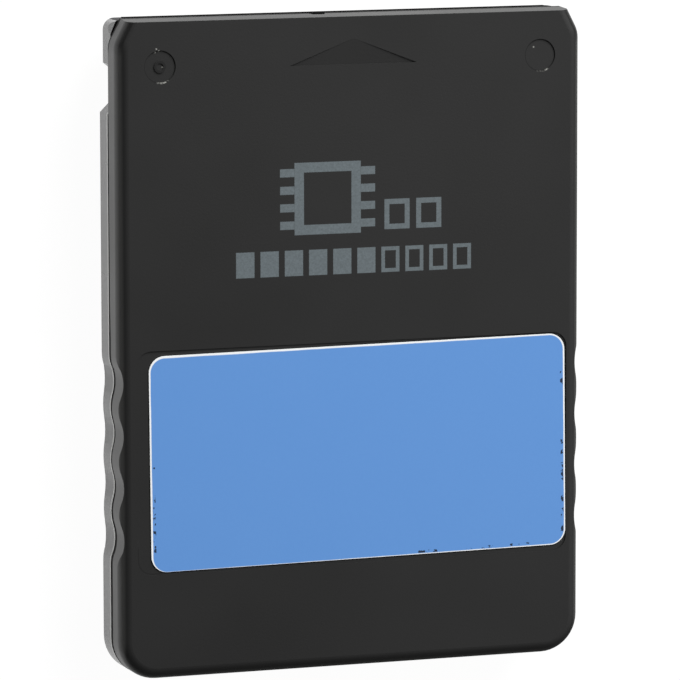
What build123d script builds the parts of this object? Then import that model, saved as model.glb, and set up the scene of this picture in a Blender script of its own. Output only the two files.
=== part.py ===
from build123d import *
from math import atan2, sqrt, tan
import os

os.makedirs("parts", exist_ok=True)

# A console memory card lying on its back, in millimetres.
# X runs across the card, +Y to the connector end, Z up from the flat back to the labelled face.

# Case
card_width = 42.0
card_length = 56.5
corner_radius = 3.3
rail_height = 2.6  # back step that runs in the console's slot
rail_inset = 1.75
flange_height = 2.3  # grip flange, from the back step to the parting plane
ledge_wall = 1.0
back_wall = 1.2
side_wall = 1.5
end_wall = 1.4
face_wall = 1.3
parting_gap = 0.2
face_radius = 1.0
rail_chamfer = 0.4
lip_draft = 0.18  # slope of the front shell's connector end
corner_cut_x = 1.05
corner_cut_y = 2.05
corner_soften = 2.2
hollow_corner_share = 0.375  # cut off the hollow's corners, against the outer radius
lower_corner = 0.9

# Finger grips on both long sides
grip_count = 4
grip_pitch = 4.5
grip_from_tail = 9.85
grip_depth = 0.42
grip_depth_at_rail = 0.26
grip_crest = 0.09  # the crests between the grips lie a little inside the straight side

# Rear shell's connector end
rear_set_back = 0.1
rail_set_back = 0.85
lobe_inset = 0.3
lobe_length = 3.9
lobe_radius = 1.0
lobe_shelf = 0.18  # bare shelf between the front shell's corner cut and the lobe's slope
lobe_slope = 11.5  # degrees, from the front shell's corner cut out to the lobe's foot
notch_depth = 1.15
notch_length = 3.5
notch_slope = 0.7

# Marks in the front face
recess_margin_left = 1.55
recess_margin_right = 1.28
recess_from_tail = 9.1
recess_length = 19.25
recess_depth = 0.1
recess_radius = 1.3
arrow_width = 11.5
arrow_height = 2.2
arrow_from_end = 4.25
arrow_shift = 0.12
arrow_depth = 0.12  # at the arrow's base, from nothing at its tip
mark_diameter = 2.75
mark_depth = 0.09
mark_from_end = 3.98
mark_from_side = 3.8
gate_diameter = 1.05
gate_width = 0.22
lip_notch_x = -2.4
lip_notch_width = 1.6
lip_notch_height = 0.9
lip_notch_slope = 0.3

# Label
label_thickness = 0.08
label_side_clearance = 0.635
label_end_clearance = 0.325
label_radius = 1.4
label_gap_right = 0.11  # it sits against the right side of its recess
label_shift_y = 0.025
label_turn = 0.5

# Case closure: tongue and rebate, posts that clamp the board, and pins pressed into sockets
tongue_wall = 0.45
tongue_height = 0.7
tongue_fit = 0.05
post_inset = 4.0
post_from_board_end = 5.0
post_sides = 6
shoulder_diameter = 3.4
pin_diameter = 2.0
pin_length = 2.0
pin_lead = 0.3
pin_fit = 0.02
socket_spare = 0.3
boss_diameter = 4.2

# Board
board_thickness = 1.0
board_clearance = 0.3
board_corner = 1.4
board_hole_clearance = 0.15

# Contacts and their carrier
contact_counts = (3, 3, 2)  # in each group
contact_pitch = 3.0
group_gap = 0.6
contact_width = 1.7
contact_thickness = 0.25
contact_bend = 0.12  # inside radius of the hook's bend
contact_drop = 0.6  # contact face below the board
contact_hook = 0.9
hook_set_back = 0.3
contact_tail = 2.4
contact_step = 0.4
strip_fit = 0.03
carrier_length = 8.0
carrier_set_back = 0.03
carrier_fit = 0.05
carrier_side_wall = 0.6
board_to_carrier = 0.5
window_length = 6.4
window_margin = 1.5
window_wall = 1.2
rib_width = 1.0
core_share = 0.55
core_length = 4.3
press_rib_width = 1.2
press_rib_spacing = 9.0

# Chips and small parts on the board
chip_standoff = 0.1
mould_draft = 8.0
lead_thickness = 0.15
lead_shoulder = 0.05
lead_foot = 0.5
index_chamfer = 0.25
top_clearance = 0.2  # tallest part to the inside of the front face
flash_width = 12.0
flash_length = 18.4
flash_thickness = 1.0
flash_lead_reach = 0.8
flash_lead_count = 24
flash_lead_pitch = 0.5
flash_lead_width = 0.22
controller_size = 7.0
controller_thickness = 1.4
controller_lead_reach = 1.0
controller_lead_count = 8
controller_lead_pitch = 0.8
controller_lead_width = 0.35
part_clearance = 0.5
chip_spacing = 3.0
crystal_width = 5.0
crystal_length = 3.2
crystal_base_height = 0.5
crystal_lid_height = 0.7
crystal_lid_inset = 0.3
crystal_gap = 1.8
regulator_width = 2.9
regulator_length = 1.3
regulator_height = 1.0
regulator_lead_pitch = 0.95
regulator_lead_width = 0.4
regulator_lead_reach = 0.55
side_parts_x = 11.3
tantalum_width = 1.6
tantalum_length = 3.2
tantalum_height = 1.5
tantalum_chamfer = 0.2
capacitor_count = 6
capacitor_spacing = 2.8
capacitor_size = (0.8, 1.6, 0.8)
resistor_size = (0.8, 1.6, 0.45)
termination_length = 0.35
termination_wrap = 0.03

# Worked out from the sizes above
half_width = card_width / 2
end_y = card_length / 2
tail_y = -card_length / 2
parting_z = rail_height + flange_height
front_edge_z = parting_z + parting_gap / 2
rear_edge_z = parting_z - parting_gap / 2
board_seat = rail_height + ledge_wall
board_top = board_seat + board_thickness
tallest_part = max(
    chip_standoff + controller_thickness,
    chip_standoff + flash_thickness,
    chip_standoff + regulator_height,
    crystal_base_height + crystal_lid_height,
    tantalum_height,
)
headroom = tallest_part + top_clearance
ceiling_z = board_top + headroom
face_z = ceiling_z + face_wall
cavity_half = half_width - side_wall
cavity_tail = tail_y + side_wall
rail_half = half_width - rail_inset
rail_tail = tail_y + rail_inset
rail_end = end_y - rail_set_back
rear_end = end_y - rear_set_back
contact_z = board_seat - contact_drop
carrier_front = end_y - carrier_set_back
carrier_back = carrier_front - carrier_length
notch_floor = half_width - notch_depth
carrier_half = notch_floor - carrier_side_wall - carrier_fit
window_back = end_y - window_length
board_half = cavity_half - board_clearance
board_back = cavity_tail + board_clearance
board_front = carrier_back - board_to_carrier
tongue_z = parting_z - tongue_height
grip_end = tail_y + grip_from_tail
grip_start = grip_end + grip_count * grip_pitch
past = 1.0  # how far cutters run past the case


def contact_places():
    """X of each contact, in groups with a wider gap between groups, centred on the card."""
    places = []
    x = 0.0
    for count in contact_counts:
        for _ in range(count):
            places.append(x)
            x += contact_pitch
        x += group_gap
    middle = (places[0] + places[-1]) / 2
    return [place - middle for place in places]


def rib_places():
    """X of each rib that divides the contact window between two groups."""
    places = contact_places()
    ribs = []
    last = -1
    for count in contact_counts[:-1]:
        last += count
        ribs.append((places[last] + places[last + 1]) / 2)
    return ribs


contact_x = contact_places()
rib_x = rib_places()
window_half = contact_x[-1] + contact_width / 2 + window_margin
post_x = cavity_half - post_inset
tail_post_y = board_back + post_from_board_end
front_post_y = board_front - post_from_board_end
post_places = [
    (-post_x, tail_post_y),
    (post_x, tail_post_y),
    (-post_x, front_post_y),
    (post_x, front_post_y),
]


def grip_wave(depth):
    """Wave of the finger grips down the right side, in the line that is being drawn."""
    quarter = grip_pitch / 4
    middle = half_width - (depth + grip_crest) / 2
    TangentArc((half_width, grip_start), (middle, grip_start - quarter), tangent=(0, -1))
    for grip in range(grip_count):
        y = grip_start - (grip + 0.5) * grip_pitch
        ThreePointArc((middle, y + quarter), (half_width - depth, y), (middle, y - quarter))
        if grip < grip_count - 1:
            crest = y - 2 * quarter
            ThreePointArc(
                (middle, crest + quarter), (half_width - grip_crest, crest), (middle, crest - quarter)
            )
    TangentArc((half_width, grip_end), (middle, grip_end + quarter), tangent=(0, 1))


def tail_corner():
    """Right side's end, tail corner and half of the tail, in the line that is being drawn."""
    corner_start = (half_width, tail_y + corner_radius)
    corner_end = (half_width - corner_radius, tail_y)
    Line((half_width, grip_end), corner_start)
    RadiusArc(corner_start, corner_end, corner_radius)
    Line(corner_end, (0, tail_y))


def grip_outline(height, depth):
    """Outline of the rear shell's flange at a height, with the finger grips cut to a depth."""
    with BuildSketch(Plane.XY.offset(height)) as outline:
        with BuildLine():
            Line((0, end_y), (half_width, end_y))
            Line((half_width, end_y), (half_width, grip_start))
            grip_wave(depth)
            tail_corner()
            mirror(about=Plane.YZ)
        make_face()
    return outline.sketch


def hollow_outline(height, half, tail, end, corner):
    """Rectangle across the card between two Y values, with its corners cut off."""
    with BuildSketch(Plane.XY.offset(height)) as outline:
        with Locations((0, (tail + end) / 2)):
            Rectangle(2 * half, end - tail)
        chamfer(outline.vertices(), length=corner)
    return outline.sketch


# Front shell: lip, marks, label recess, tongue and posts
tongue_half = cavity_half + tongue_wall
tongue_tail = cavity_tail - tongue_wall
hollow_corner = hollow_corner_share * corner_radius
tongue_corner = hollow_corner + (2 - sqrt(2)) * tongue_wall
recess_middle_y = tail_y + recess_from_tail + recess_length / 2
recess_width = card_width - recess_margin_left - recess_margin_right
recess_middle_x = (recess_margin_left - recess_margin_right) / 2
arrow_tip_y = end_y - arrow_from_end + arrow_height
with BuildPart() as front_shell:
    with BuildSketch(Plane.XY.offset(front_edge_z)) as front_outline:
        with BuildLine():
            Line((0, end_y), (half_width - corner_cut_x, end_y))
            Line((half_width - corner_cut_x, end_y), (half_width, end_y - corner_cut_y))
            Line((half_width, end_y - corner_cut_y), (half_width, grip_end))
            tail_corner()
            mirror(about=Plane.YZ)
        make_face()
        fillet(front_outline.vertices().group_by(Axis.Y)[-2], radius=corner_soften)
    extrude(amount=face_z - front_edge_z)
    rim = front_shell.edges().group_by(Axis.Z)[-1]
    fillet(rim.filter_by(lambda edge: edge.center().Y < end_y - parting_gap), radius=face_radius)

    # Finger grips, scooped straight down through the rounded edge
    with BuildSketch(Plane.XY.offset(front_edge_z)):
        with BuildLine():
            grip_wave(grip_depth)
            Polyline(
                (half_width, grip_end),
                (half_width + past, grip_end),
                (half_width + past, grip_start),
                (half_width, grip_start),
            )
        make_face()
        mirror(about=Plane.YZ)
    extrude(amount=face_z - front_edge_z, mode=Mode.SUBTRACT)

    # Drafted lip and the hollow
    with BuildSketch(Plane.YZ):
        with BuildLine():
            Polyline((end_y, front_edge_z), (end_y - lip_draft, face_z), (end_y, face_z), close=True)
        make_face()
    extrude(amount=half_width + past, both=True, mode=Mode.SUBTRACT)
    extrude(
        hollow_outline(front_edge_z, cavity_half, cavity_tail, end_y - end_wall, hollow_corner),
        amount=ceiling_z - front_edge_z,
        mode=Mode.SUBTRACT,
    )

    # Tongue round three sides, up to the carrier
    with BuildSketch(Plane.XY.offset(front_edge_z)):
        add(hollow_outline(0, tongue_half, tongue_tail, carrier_back, tongue_corner))
        add(hollow_outline(0, cavity_half, cavity_tail, end_y, hollow_corner), mode=Mode.SUBTRACT)
        with Locations((0, carrier_back)):
            Rectangle(2 * card_width, 2 * corner_radius, mode=Mode.SUBTRACT)
    extrude(amount=tongue_z - front_edge_z)

    # Posts that clamp the board, and pins that go through it into the rear shell
    with BuildSketch(Plane.XY.offset(board_top)):
        with Locations(post_places):
            RegularPolygon(shoulder_diameter / 2, post_sides)
    extrude(amount=headroom)
    with BuildSketch(Plane.XY.offset(board_top)):
        with Locations(post_places):
            RegularPolygon(pin_diameter / 2, post_sides)
    extrude(amount=-board_thickness - pin_length)
    pin_tips = front_shell.edges().group_by(Axis.Z)[0]
    chamfer(pin_tips, length=pin_lead)

    # Ribs that hold the contact carrier down
    with BuildSketch(Plane.XY.offset(parting_z)):
        with Locations((0, (carrier_back + end_y - end_wall) / 2)):
            with GridLocations(press_rib_spacing, 0, 3, 1):
                Rectangle(press_rib_width, end_y - end_wall - carrier_back)
    extrude(amount=ceiling_z - parting_z)

    # Notch in the lip's inner edge
    with BuildSketch(Plane.XZ.offset(-end_y)):
        with BuildLine():
            Polyline(
                (lip_notch_x - lip_notch_width / 2, front_edge_z),
                (lip_notch_x - lip_notch_width / 2 + lip_notch_slope, front_edge_z + lip_notch_height),
                (lip_notch_x + lip_notch_width / 2 - lip_notch_slope, front_edge_z + lip_notch_height),
                (lip_notch_x + lip_notch_width / 2, front_edge_z),
                close=True,
            )
        make_face()
    extrude(amount=end_wall, mode=Mode.SUBTRACT)

    # Label recess, arrow and round marks
    with BuildSketch(Plane.XY.offset(face_z - recess_depth)):
        with Locations((recess_middle_x, recess_middle_y)):
            RectangleRounded(recess_width, recess_length, recess_radius)
    extrude(amount=recess_depth, mode=Mode.SUBTRACT)
    arrow_plane = Plane(
        origin=(arrow_shift, arrow_tip_y, face_z),
        x_dir=(1, 0, 0),
        z_dir=(0, -arrow_depth, arrow_height),
    )
    with BuildSketch(arrow_plane):
        with BuildLine():
            Polyline((-arrow_width / 2, -arrow_height), (arrow_width / 2, -arrow_height), (0, 0), close=True)
        make_face()
    extrude(amount=2 * arrow_depth, mode=Mode.SUBTRACT)
    mark_y = end_y - mark_from_end
    mark_x = half_width - mark_from_side
    with BuildSketch(Plane.XY.offset(face_z - mark_depth)):
        with Locations((-mark_x, mark_y), (mark_x, mark_y)):
            Circle(mark_diameter / 2)
        with Locations((-mark_x, mark_y)):
            Circle(gate_diameter / 2, mode=Mode.SUBTRACT)
            Circle(gate_diameter / 2 - gate_width)
    extrude(amount=mark_depth, mode=Mode.SUBTRACT)
front_shell.part.label = "front_shell"
export_step(front_shell.part, "parts/front_shell.step")


# Rear shell: back step, grip flange with notches, contact window, board ledge and sockets
lobe_x = half_width - lobe_inset
lobe_start = end_y - lobe_length
lobe_cut_x = corner_cut_x - lobe_shelf
notch_end = lobe_start - notch_length
bay_edges = [-window_half]
for x in rib_x:
    bay_edges += [x - rib_width / 2, x + rib_width / 2]
bay_edges.append(window_half)
with BuildPart() as rear_shell:
    with BuildSketch():
        with Locations((0, (rail_tail + rail_end) / 2)):
            RectangleRounded(2 * rail_half, rail_end - rail_tail, corner_radius - rail_inset)
    extrude(amount=rail_height)
    chamfer(rear_shell.edges().group_by(Axis.Z)[0], length=rail_chamfer)
    loft([grip_outline(rail_height, grip_depth_at_rail), grip_outline(rear_edge_z, grip_depth)], ruled=True)

    # Side notches and the lobes at the connector corners
    with BuildSketch(Plane.XY.offset(rail_height)):
        with BuildLine():
            Polyline(
                (half_width + past, notch_end - notch_slope),
                (half_width, notch_end - notch_slope),
                (notch_floor, notch_end + notch_depth - notch_slope),
                (notch_floor, lobe_start - notch_slope),
                (lobe_x, lobe_start),
                (lobe_x, rear_end - lobe_radius),
            )
            RadiusArc((lobe_x, rear_end - lobe_radius), (lobe_x - lobe_radius, rear_end), -lobe_radius)
            Polyline(
                (lobe_x - lobe_radius, rear_end),
                (0, rear_end),
                (0, end_y + past),
                (half_width + past, end_y + past),
                (half_width + past, notch_end - notch_slope),
            )
        make_face()
        mirror(about=Plane.YZ)
    extrude(amount=flange_height, mode=Mode.SUBTRACT)
    with BuildSketch(Plane.XY.offset(rear_edge_z)):
        with BuildLine():
            Polyline(
                (half_width - 2 * lobe_cut_x, end_y + corner_cut_y),
                (half_width + lobe_cut_x, end_y - 2 * corner_cut_y),
                (half_width + lobe_cut_x, end_y + corner_cut_y),
                close=True,
            )
        make_face()
        mirror(about=Plane.YZ)
    extrude(amount=rail_height - rear_edge_z, taper=lobe_slope, mode=Mode.SUBTRACT)

    # Hollow, with a ledge at the board's height
    lower_tail = rail_tail + side_wall
    lower_end = window_back - window_wall
    extrude(
        hollow_outline(back_wall, rail_half - side_wall, lower_tail, lower_end, lower_corner),
        amount=board_seat - back_wall,
        mode=Mode.SUBTRACT,
    )
    extrude(
        hollow_outline(board_seat, cavity_half, cavity_tail, carrier_back, hollow_corner),
        amount=flange_height,
        mode=Mode.SUBTRACT,
    )
    extrude(
        hollow_outline(
            tongue_z,
            tongue_half + tongue_fit,
            tongue_tail - tongue_fit,
            carrier_back,
            tongue_corner,
        ),
        amount=flange_height,
        mode=Mode.SUBTRACT,
    )

    # Seat of the contact carrier, open at the end
    with BuildSketch(Plane.XY.offset(contact_z)):
        with Locations((0, carrier_back - carrier_fit)):
            Rectangle(
                2 * (carrier_half + carrier_fit),
                carrier_length + past,
                align=(Align.CENTER, Align.MIN),
            )
    extrude(amount=parting_z - contact_z, mode=Mode.SUBTRACT)

    # Cores beside the window that keep the walls even, under the carrier's ends
    core_width = core_share * (rail_half - window_half)
    core_x = (window_half + rail_half) / 2
    with BuildSketch(Plane.XY.offset(contact_z)):
        with Locations((-core_x, window_back), (core_x, window_back)):
            Rectangle(core_width, core_length, align=(Align.CENTER, Align.MIN))
    extrude(amount=back_wall - contact_z, mode=Mode.SUBTRACT)

    # Contact window in three bays, open to the back and to the end
    with BuildSketch():
        for left, right in zip(bay_edges[::2], bay_edges[1::2]):
            with Locations((left, window_back)):
                Rectangle(right - left, window_length + past, align=(Align.MIN, Align.MIN))
    extrude(amount=contact_z, mode=Mode.SUBTRACT)

    # Bosses under the board, with sockets for the pins
    with BuildSketch(Plane.XY.offset(back_wall)):
        with Locations(post_places):
            RegularPolygon(boss_diameter / 2, post_sides)
    extrude(amount=board_seat - back_wall)
    with BuildSketch(Plane.XY.offset(board_seat)):
        with Locations(post_places):
            RegularPolygon(pin_diameter / 2 + pin_fit, post_sides)
    extrude(amount=-pin_length - socket_spare, mode=Mode.SUBTRACT)
rear_shell.part.label = "rear_shell"
export_step(rear_shell.part, "parts/rear_shell.step")


# Label, a little askew in its recess
label_x = recess_middle_x + label_side_clearance - label_gap_right
label_y = recess_middle_y + label_shift_y
label_plane = Plane(origin=(label_x, label_y, face_z - recess_depth)).rotated((0, 0, label_turn))
with BuildPart() as front_label:
    with BuildSketch(label_plane):
        RectangleRounded(
            recess_width - 2 * label_side_clearance,
            recess_length - 2 * label_end_clearance,
            label_radius,
        )
    extrude(amount=label_thickness)
front_label.part.label = "front_label"
export_step(front_label.part, "parts/front_label.step")


# Circuit board with a hole for each pin
with BuildPart() as circuit_board:
    with BuildSketch(Plane.XY.offset(board_seat)) as board_outline:
        with Locations((0, (board_back + board_front) / 2)):
            Rectangle(2 * board_half, board_front - board_back)
        chamfer(board_outline.vertices(), length=board_corner)
    extrude(amount=board_thickness)
    with Locations(*[(x, y, board_top) for x, y in post_places]):
        Hole(pin_diameter / 2 + board_hole_clearance, depth=board_thickness)
circuit_board.part.label = "circuit_board"
export_step(circuit_board.part, "parts/circuit_board.step")


# Contact carrier: a bar with one channel for each strip, open to the back
hook_front = carrier_front - hook_set_back
hook_back = hook_front - contact_thickness - strip_fit
step_front = window_back + contact_step
channel_top = contact_z + contact_thickness + strip_fit
with BuildPart() as contact_carrier:
    with BuildSketch(Plane.XY.offset(contact_z)):
        with Locations((0, carrier_back)):
            Rectangle(2 * carrier_half, carrier_length, align=(Align.CENTER, Align.MIN))
    extrude(amount=parting_z - contact_z)
    for x in contact_x:
        with BuildSketch(Plane.YZ.offset(x)):
            with BuildLine():
                Polyline(
                    (carrier_back, contact_z),
                    (carrier_back, board_seat + strip_fit),
                    (step_front + strip_fit, board_seat + strip_fit),
                    (step_front + strip_fit, channel_top),
                    (hook_back - contact_bend, channel_top),
                    (hook_back, channel_top + contact_bend),
                    (hook_back, contact_z + contact_hook + strip_fit),
                    (hook_front + strip_fit, contact_z + contact_hook + strip_fit),
                    (hook_front + strip_fit, contact_z),
                    close=True,
                )
            make_face()
        extrude(amount=contact_width / 2 + strip_fit, both=True, mode=Mode.SUBTRACT)
contact_carrier.part.label = "contact_carrier"
export_step(contact_carrier.part, "parts/contact_carrier.step")


# Contact strips: tail under the board, step down, contact face, hook at the front
tail_end = board_front - contact_tail
tail_z = board_seat - contact_thickness
strip_top = contact_z + contact_thickness
step_mitre = contact_thickness * tan(atan2(board_seat - strip_top, contact_step) / 2)
for number, x in enumerate(contact_x, start=1):
    with BuildPart() as contact:
        with BuildSketch(Plane.YZ.offset(x)) as profile:
            with BuildLine():
                Polyline(
                    (tail_end, board_seat),
                    (window_back, board_seat),
                    (step_front, strip_top),
                    (hook_front - contact_thickness, strip_top),
                    (hook_front - contact_thickness, contact_z + contact_hook),
                    (hook_front, contact_z + contact_hook),
                    (hook_front, contact_z),
                    (step_front - step_mitre, contact_z),
                    (window_back - step_mitre, tail_z),
                    (tail_end, tail_z),
                    close=True,
                )
            make_face()
            inner_corner = profile.vertices().sort_by_distance((hook_front - contact_thickness, strip_top))[0]
            fillet(inner_corner, radius=contact_bend)
            outer_corner = profile.vertices().sort_by_distance((hook_front, contact_z))[0]
            fillet(outer_corner, radius=contact_bend + contact_thickness)
        extrude(amount=contact_width / 2, both=True)
    contact.part.label = f"contact_{number}"
    export_step(contact.part, f"parts/contact_{number}.step")


def moulded_body(x, y, width, length, thickness):
    """Chip body on the board, with drafted sides that meet at mid height."""
    middle_z = board_top + chip_standoff + thickness / 2
    with BuildPart() as body:
        with BuildSketch(Plane.XY.offset(middle_z)) as middle:
            with Locations((x, y)):
                Rectangle(width, length)
        extrude(amount=thickness / 2, taper=mould_draft)
        extrude(middle.sketch, amount=-thickness / 2, taper=mould_draft)
    return body.part


def indexed_body(x, y, width, length, thickness):
    """Chip body with its edge on the side of the first lead bevelled."""
    with BuildPart() as body:
        add(moulded_body(x, y, width, length, thickness))
        first_edge = body.edges().group_by(Axis.Z)[-1].sort_by(Axis.X)[0]
        chamfer(first_edge, length=index_chamfer)
    return body.part


def gull_lead(thickness, reach, width):
    """Gull-wing lead from mid height of a chip body along +Y, with its foot flat on the board."""
    root_z = board_top + chip_standoff + thickness / 2
    heel = reach - lead_foot
    with BuildPart() as lead:
        with BuildSketch(Plane.YZ):
            with BuildLine():
                Polyline(
                    (0, root_z + lead_thickness / 2),
                    (lead_shoulder + lead_thickness, root_z + lead_thickness / 2),
                    (heel + lead_thickness, board_top + lead_thickness),
                    (reach, board_top + lead_thickness),
                    (reach, board_top),
                    (heel, board_top),
                    (lead_shoulder, root_z - lead_thickness / 2),
                    (0, root_z - lead_thickness / 2),
                    close=True,
                )
            make_face()
        extrude(amount=width / 2, both=True)
    return lead.part


def lead_row(count, pitch):
    """Offsets of a centred row."""
    return [(index - (count - 1) / 2) * pitch for index in range(count)]


# Flash chip, with a row of leads at each end
post_edge = shoulder_diameter / 2 + part_clearance
flash_tail = tail_post_y + post_edge
flash_y = flash_tail + flash_lead_reach + flash_length / 2
flash_x = -chip_spacing / 2 - flash_width / 2
flash_chip = indexed_body(flash_x, flash_y, flash_width, flash_length, flash_thickness)
flash_chip.label = "flash_chip"
export_step(flash_chip, "parts/flash_chip.step")
flash_lead = gull_lead(flash_thickness, flash_lead_reach, flash_lead_width)
flash_row = lead_row(flash_lead_count, flash_lead_pitch)
with BuildPart() as flash_chip_leads:
    with Locations(*[Location((flash_x + x, flash_y + flash_length / 2, 0)) for x in flash_row]):
        add(flash_lead)
    with Locations(*[Location((flash_x + x, flash_y - flash_length / 2, 0), (0, 0, 180)) for x in flash_row]):
        add(flash_lead)
flash_chip_leads.part.label = "flash_chip_leads"
export_step(flash_chip_leads.part, "parts/flash_chip_leads.step")


# Controller chip, with leads on all four sides
controller_x = chip_spacing / 2 + controller_lead_reach + controller_size / 2
controller_y = flash_y
controller_chip = indexed_body(
    controller_x, controller_y, controller_size, controller_size, controller_thickness
)
controller_chip.label = "controller_chip"
export_step(controller_chip, "parts/controller_chip.step")
controller_lead = gull_lead(controller_thickness, controller_lead_reach, controller_lead_width)
controller_places = []
for turn in (0, 90, 180, 270):
    side = Location((controller_x, controller_y, 0), (0, 0, turn))
    for x in lead_row(controller_lead_count, controller_lead_pitch):
        controller_places.append(side * Location((x, controller_size / 2, 0)))
with BuildPart() as controller_chip_leads:
    with Locations(*controller_places):
        add(controller_lead)
controller_chip_leads.part.label = "controller_chip_leads"
export_step(controller_chip_leads.part, "parts/controller_chip_leads.step")


# Crystal: ceramic base with a metal lid, sealed as one piece
crystal_y = controller_y + controller_size / 2 + controller_lead_reach + crystal_gap + crystal_length / 2
with BuildPart() as crystal:
    with BuildSketch(Plane.XY.offset(board_top)):
        with Locations((controller_x, crystal_y)):
            Rectangle(crystal_width, crystal_length)
    extrude(amount=crystal_base_height)
    with BuildSketch(Plane.XY.offset(board_top + crystal_base_height)):
        with Locations((controller_x, crystal_y)):
            Rectangle(crystal_width - 2 * crystal_lid_inset, crystal_length - 2 * crystal_lid_inset)
    extrude(amount=crystal_lid_height, taper=mould_draft)
crystal.part.label = "crystal"
export_step(crystal.part, "parts/crystal.step")


# Voltage regulator: two leads on one side, one on the other
flash_front = flash_y + flash_length / 2 + flash_lead_reach
resistor_y = front_post_y - post_edge - resistor_size[1] / 2
small_parts_y = (flash_front + resistor_y) / 2
voltage_regulator = moulded_body(
    -side_parts_x, small_parts_y, regulator_width, regulator_length, regulator_height
)
voltage_regulator.label = "voltage_regulator"
export_step(voltage_regulator, "parts/voltage_regulator.step")
regulator_lead = gull_lead(regulator_height, regulator_lead_reach + lead_foot, regulator_lead_width)
with BuildPart() as voltage_regulator_leads:
    front_y = small_parts_y + regulator_length / 2
    with Locations(
        Location((-side_parts_x - regulator_lead_pitch, front_y, 0)),
        Location((-side_parts_x + regulator_lead_pitch, front_y, 0)),
        Location((-side_parts_x, small_parts_y - regulator_length / 2, 0), (0, 0, 180)),
    ):
        add(regulator_lead)
voltage_regulator_leads.part.label = "voltage_regulator_leads"
export_step(voltage_regulator_leads.part, "parts/voltage_regulator_leads.step")


# Bulk capacitor, moulded, with its polarity edge chamfered
with BuildPart() as bulk_capacitor:
    with BuildSketch(Plane.XY.offset(board_top)):
        with Locations((side_parts_x, small_parts_y)):
            Rectangle(tantalum_width, tantalum_length)
    extrude(amount=tantalum_height)
    polarity_edge = bulk_capacitor.faces().sort_by(Axis.Z)[-1].edges().sort_by(Axis.Y)[-1]
    chamfer(polarity_edge, length=tantalum_chamfer)
bulk_capacitor.part.label = "bulk_capacitor"
export_step(bulk_capacitor.part, "parts/bulk_capacitor.step")


def chip_component(size):
    """Ceramic chip part along Y, on the board, with wrapped terminations at both ends."""
    width, length, height = size
    with BuildPart() as chip:
        with BuildSketch(Plane.XY.offset(board_top + termination_wrap)):
            Rectangle(width - 2 * termination_wrap, length - 2 * termination_length)
        extrude(amount=height - 2 * termination_wrap)
        with BuildSketch(Plane.XY.offset(board_top)):
            with GridLocations(0, length - termination_length, 1, 2):
                Rectangle(width, termination_length)
        extrude(amount=height)
    return chip.part


# Decoupling capacitors in a row
capacitor = chip_component(capacitor_size)
with BuildPart() as decoupling_capacitors:
    with Locations(*[(x, small_parts_y, 0) for x in lead_row(capacitor_count, capacitor_spacing)]):
        add(capacitor)
decoupling_capacitors.part.label = "decoupling_capacitors"
export_step(decoupling_capacitors.part, "parts/decoupling_capacitors.step")


# Resistors of the signal lines, one behind each contact
resistor = chip_component(resistor_size)
with BuildPart() as resistors:
    with Locations(*[(x, resistor_y, 0) for x in contact_x]):
        add(resistor)
resistors.part.label = "resistors"
export_step(resistors.part, "parts/resistors.step")
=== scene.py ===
import math
import bpy
import bmesh
from mathutils import Matrix, Vector


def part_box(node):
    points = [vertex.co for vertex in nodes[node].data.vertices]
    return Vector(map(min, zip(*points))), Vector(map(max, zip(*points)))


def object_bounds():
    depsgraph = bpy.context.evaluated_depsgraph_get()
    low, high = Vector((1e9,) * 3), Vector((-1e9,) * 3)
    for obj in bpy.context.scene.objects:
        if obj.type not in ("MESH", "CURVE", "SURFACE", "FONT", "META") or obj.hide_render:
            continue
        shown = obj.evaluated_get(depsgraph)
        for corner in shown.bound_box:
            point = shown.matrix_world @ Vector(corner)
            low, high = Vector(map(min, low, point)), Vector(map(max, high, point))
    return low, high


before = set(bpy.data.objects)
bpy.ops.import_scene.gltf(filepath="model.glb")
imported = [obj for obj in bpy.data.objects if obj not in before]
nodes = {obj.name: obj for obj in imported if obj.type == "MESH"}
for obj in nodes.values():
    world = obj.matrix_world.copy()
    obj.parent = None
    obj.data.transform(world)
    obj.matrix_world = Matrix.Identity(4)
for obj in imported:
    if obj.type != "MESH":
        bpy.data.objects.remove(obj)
cad_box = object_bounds()
scene = bpy.context.scene

MM = 0.001


def box_mm(name):
    """Lowest and highest corner of a CAD node, in millimetres."""
    return [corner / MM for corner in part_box(name)]


# Places on the case that its materials go by, in millimetres
CASE_SIZE = ((cad_box[1] - cad_box[0]) / MM).xy
CASE_RADIUS = 3.3
FACE_Z = box_mm("front_shell")[1].z
FLANGE_LOW_Z = 2.6
SEAM_LOW_Z = box_mm("rear_shell")[1].z
SEAM_GAP = 0.2
SEAM_HIGH_Z = SEAM_LOW_Z + SEAM_GAP
END_Y = CASE_SIZE[1] / 2


def linear(colour):
    """An sRGB hex colour as the linear values that a socket takes."""
    channels = [int(colour[i:i + 2], 16) / 255 for i in (1, 3, 5)]
    return [c / 12.92 if c <= 0.04045 else ((c + 0.055) / 1.055) ** 2.4 for c in channels] + [1.0]


def add(tree, kind, inputs=None, **settings):
    """Adds a node with its settings. An input takes a value, a socket, or a node whose result it reads."""
    node = tree.nodes.new("ShaderNode" + kind)
    for name, value in settings.items():
        setattr(node, name, value)
    for name, value in (inputs or {}).items():
        if isinstance(value, bpy.types.Node):
            value = next(socket for socket in value.outputs if socket.enabled)
        if isinstance(value, bpy.types.NodeSocket):
            tree.links.new(value, node.inputs[name])
        else:
            node.inputs[name].default_value = value
    return node


def new_material(name, constants):
    """A material with constants on its shader's sockets, and Object coordinates in millimetres."""
    material = bpy.data.materials.new(name)
    material.use_nodes = True
    tree = material.node_tree
    shader = tree.nodes["Principled BSDF"]
    for socket, value in constants.items():
        shader.inputs[socket].default_value = value
    coordinates = add(tree, "TexCoord")
    place = add(tree, "VectorMath", {0: coordinates.outputs["Object"], "Scale": 1 / MM}, operation="SCALE")
    return material, tree, shader, place


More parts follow.
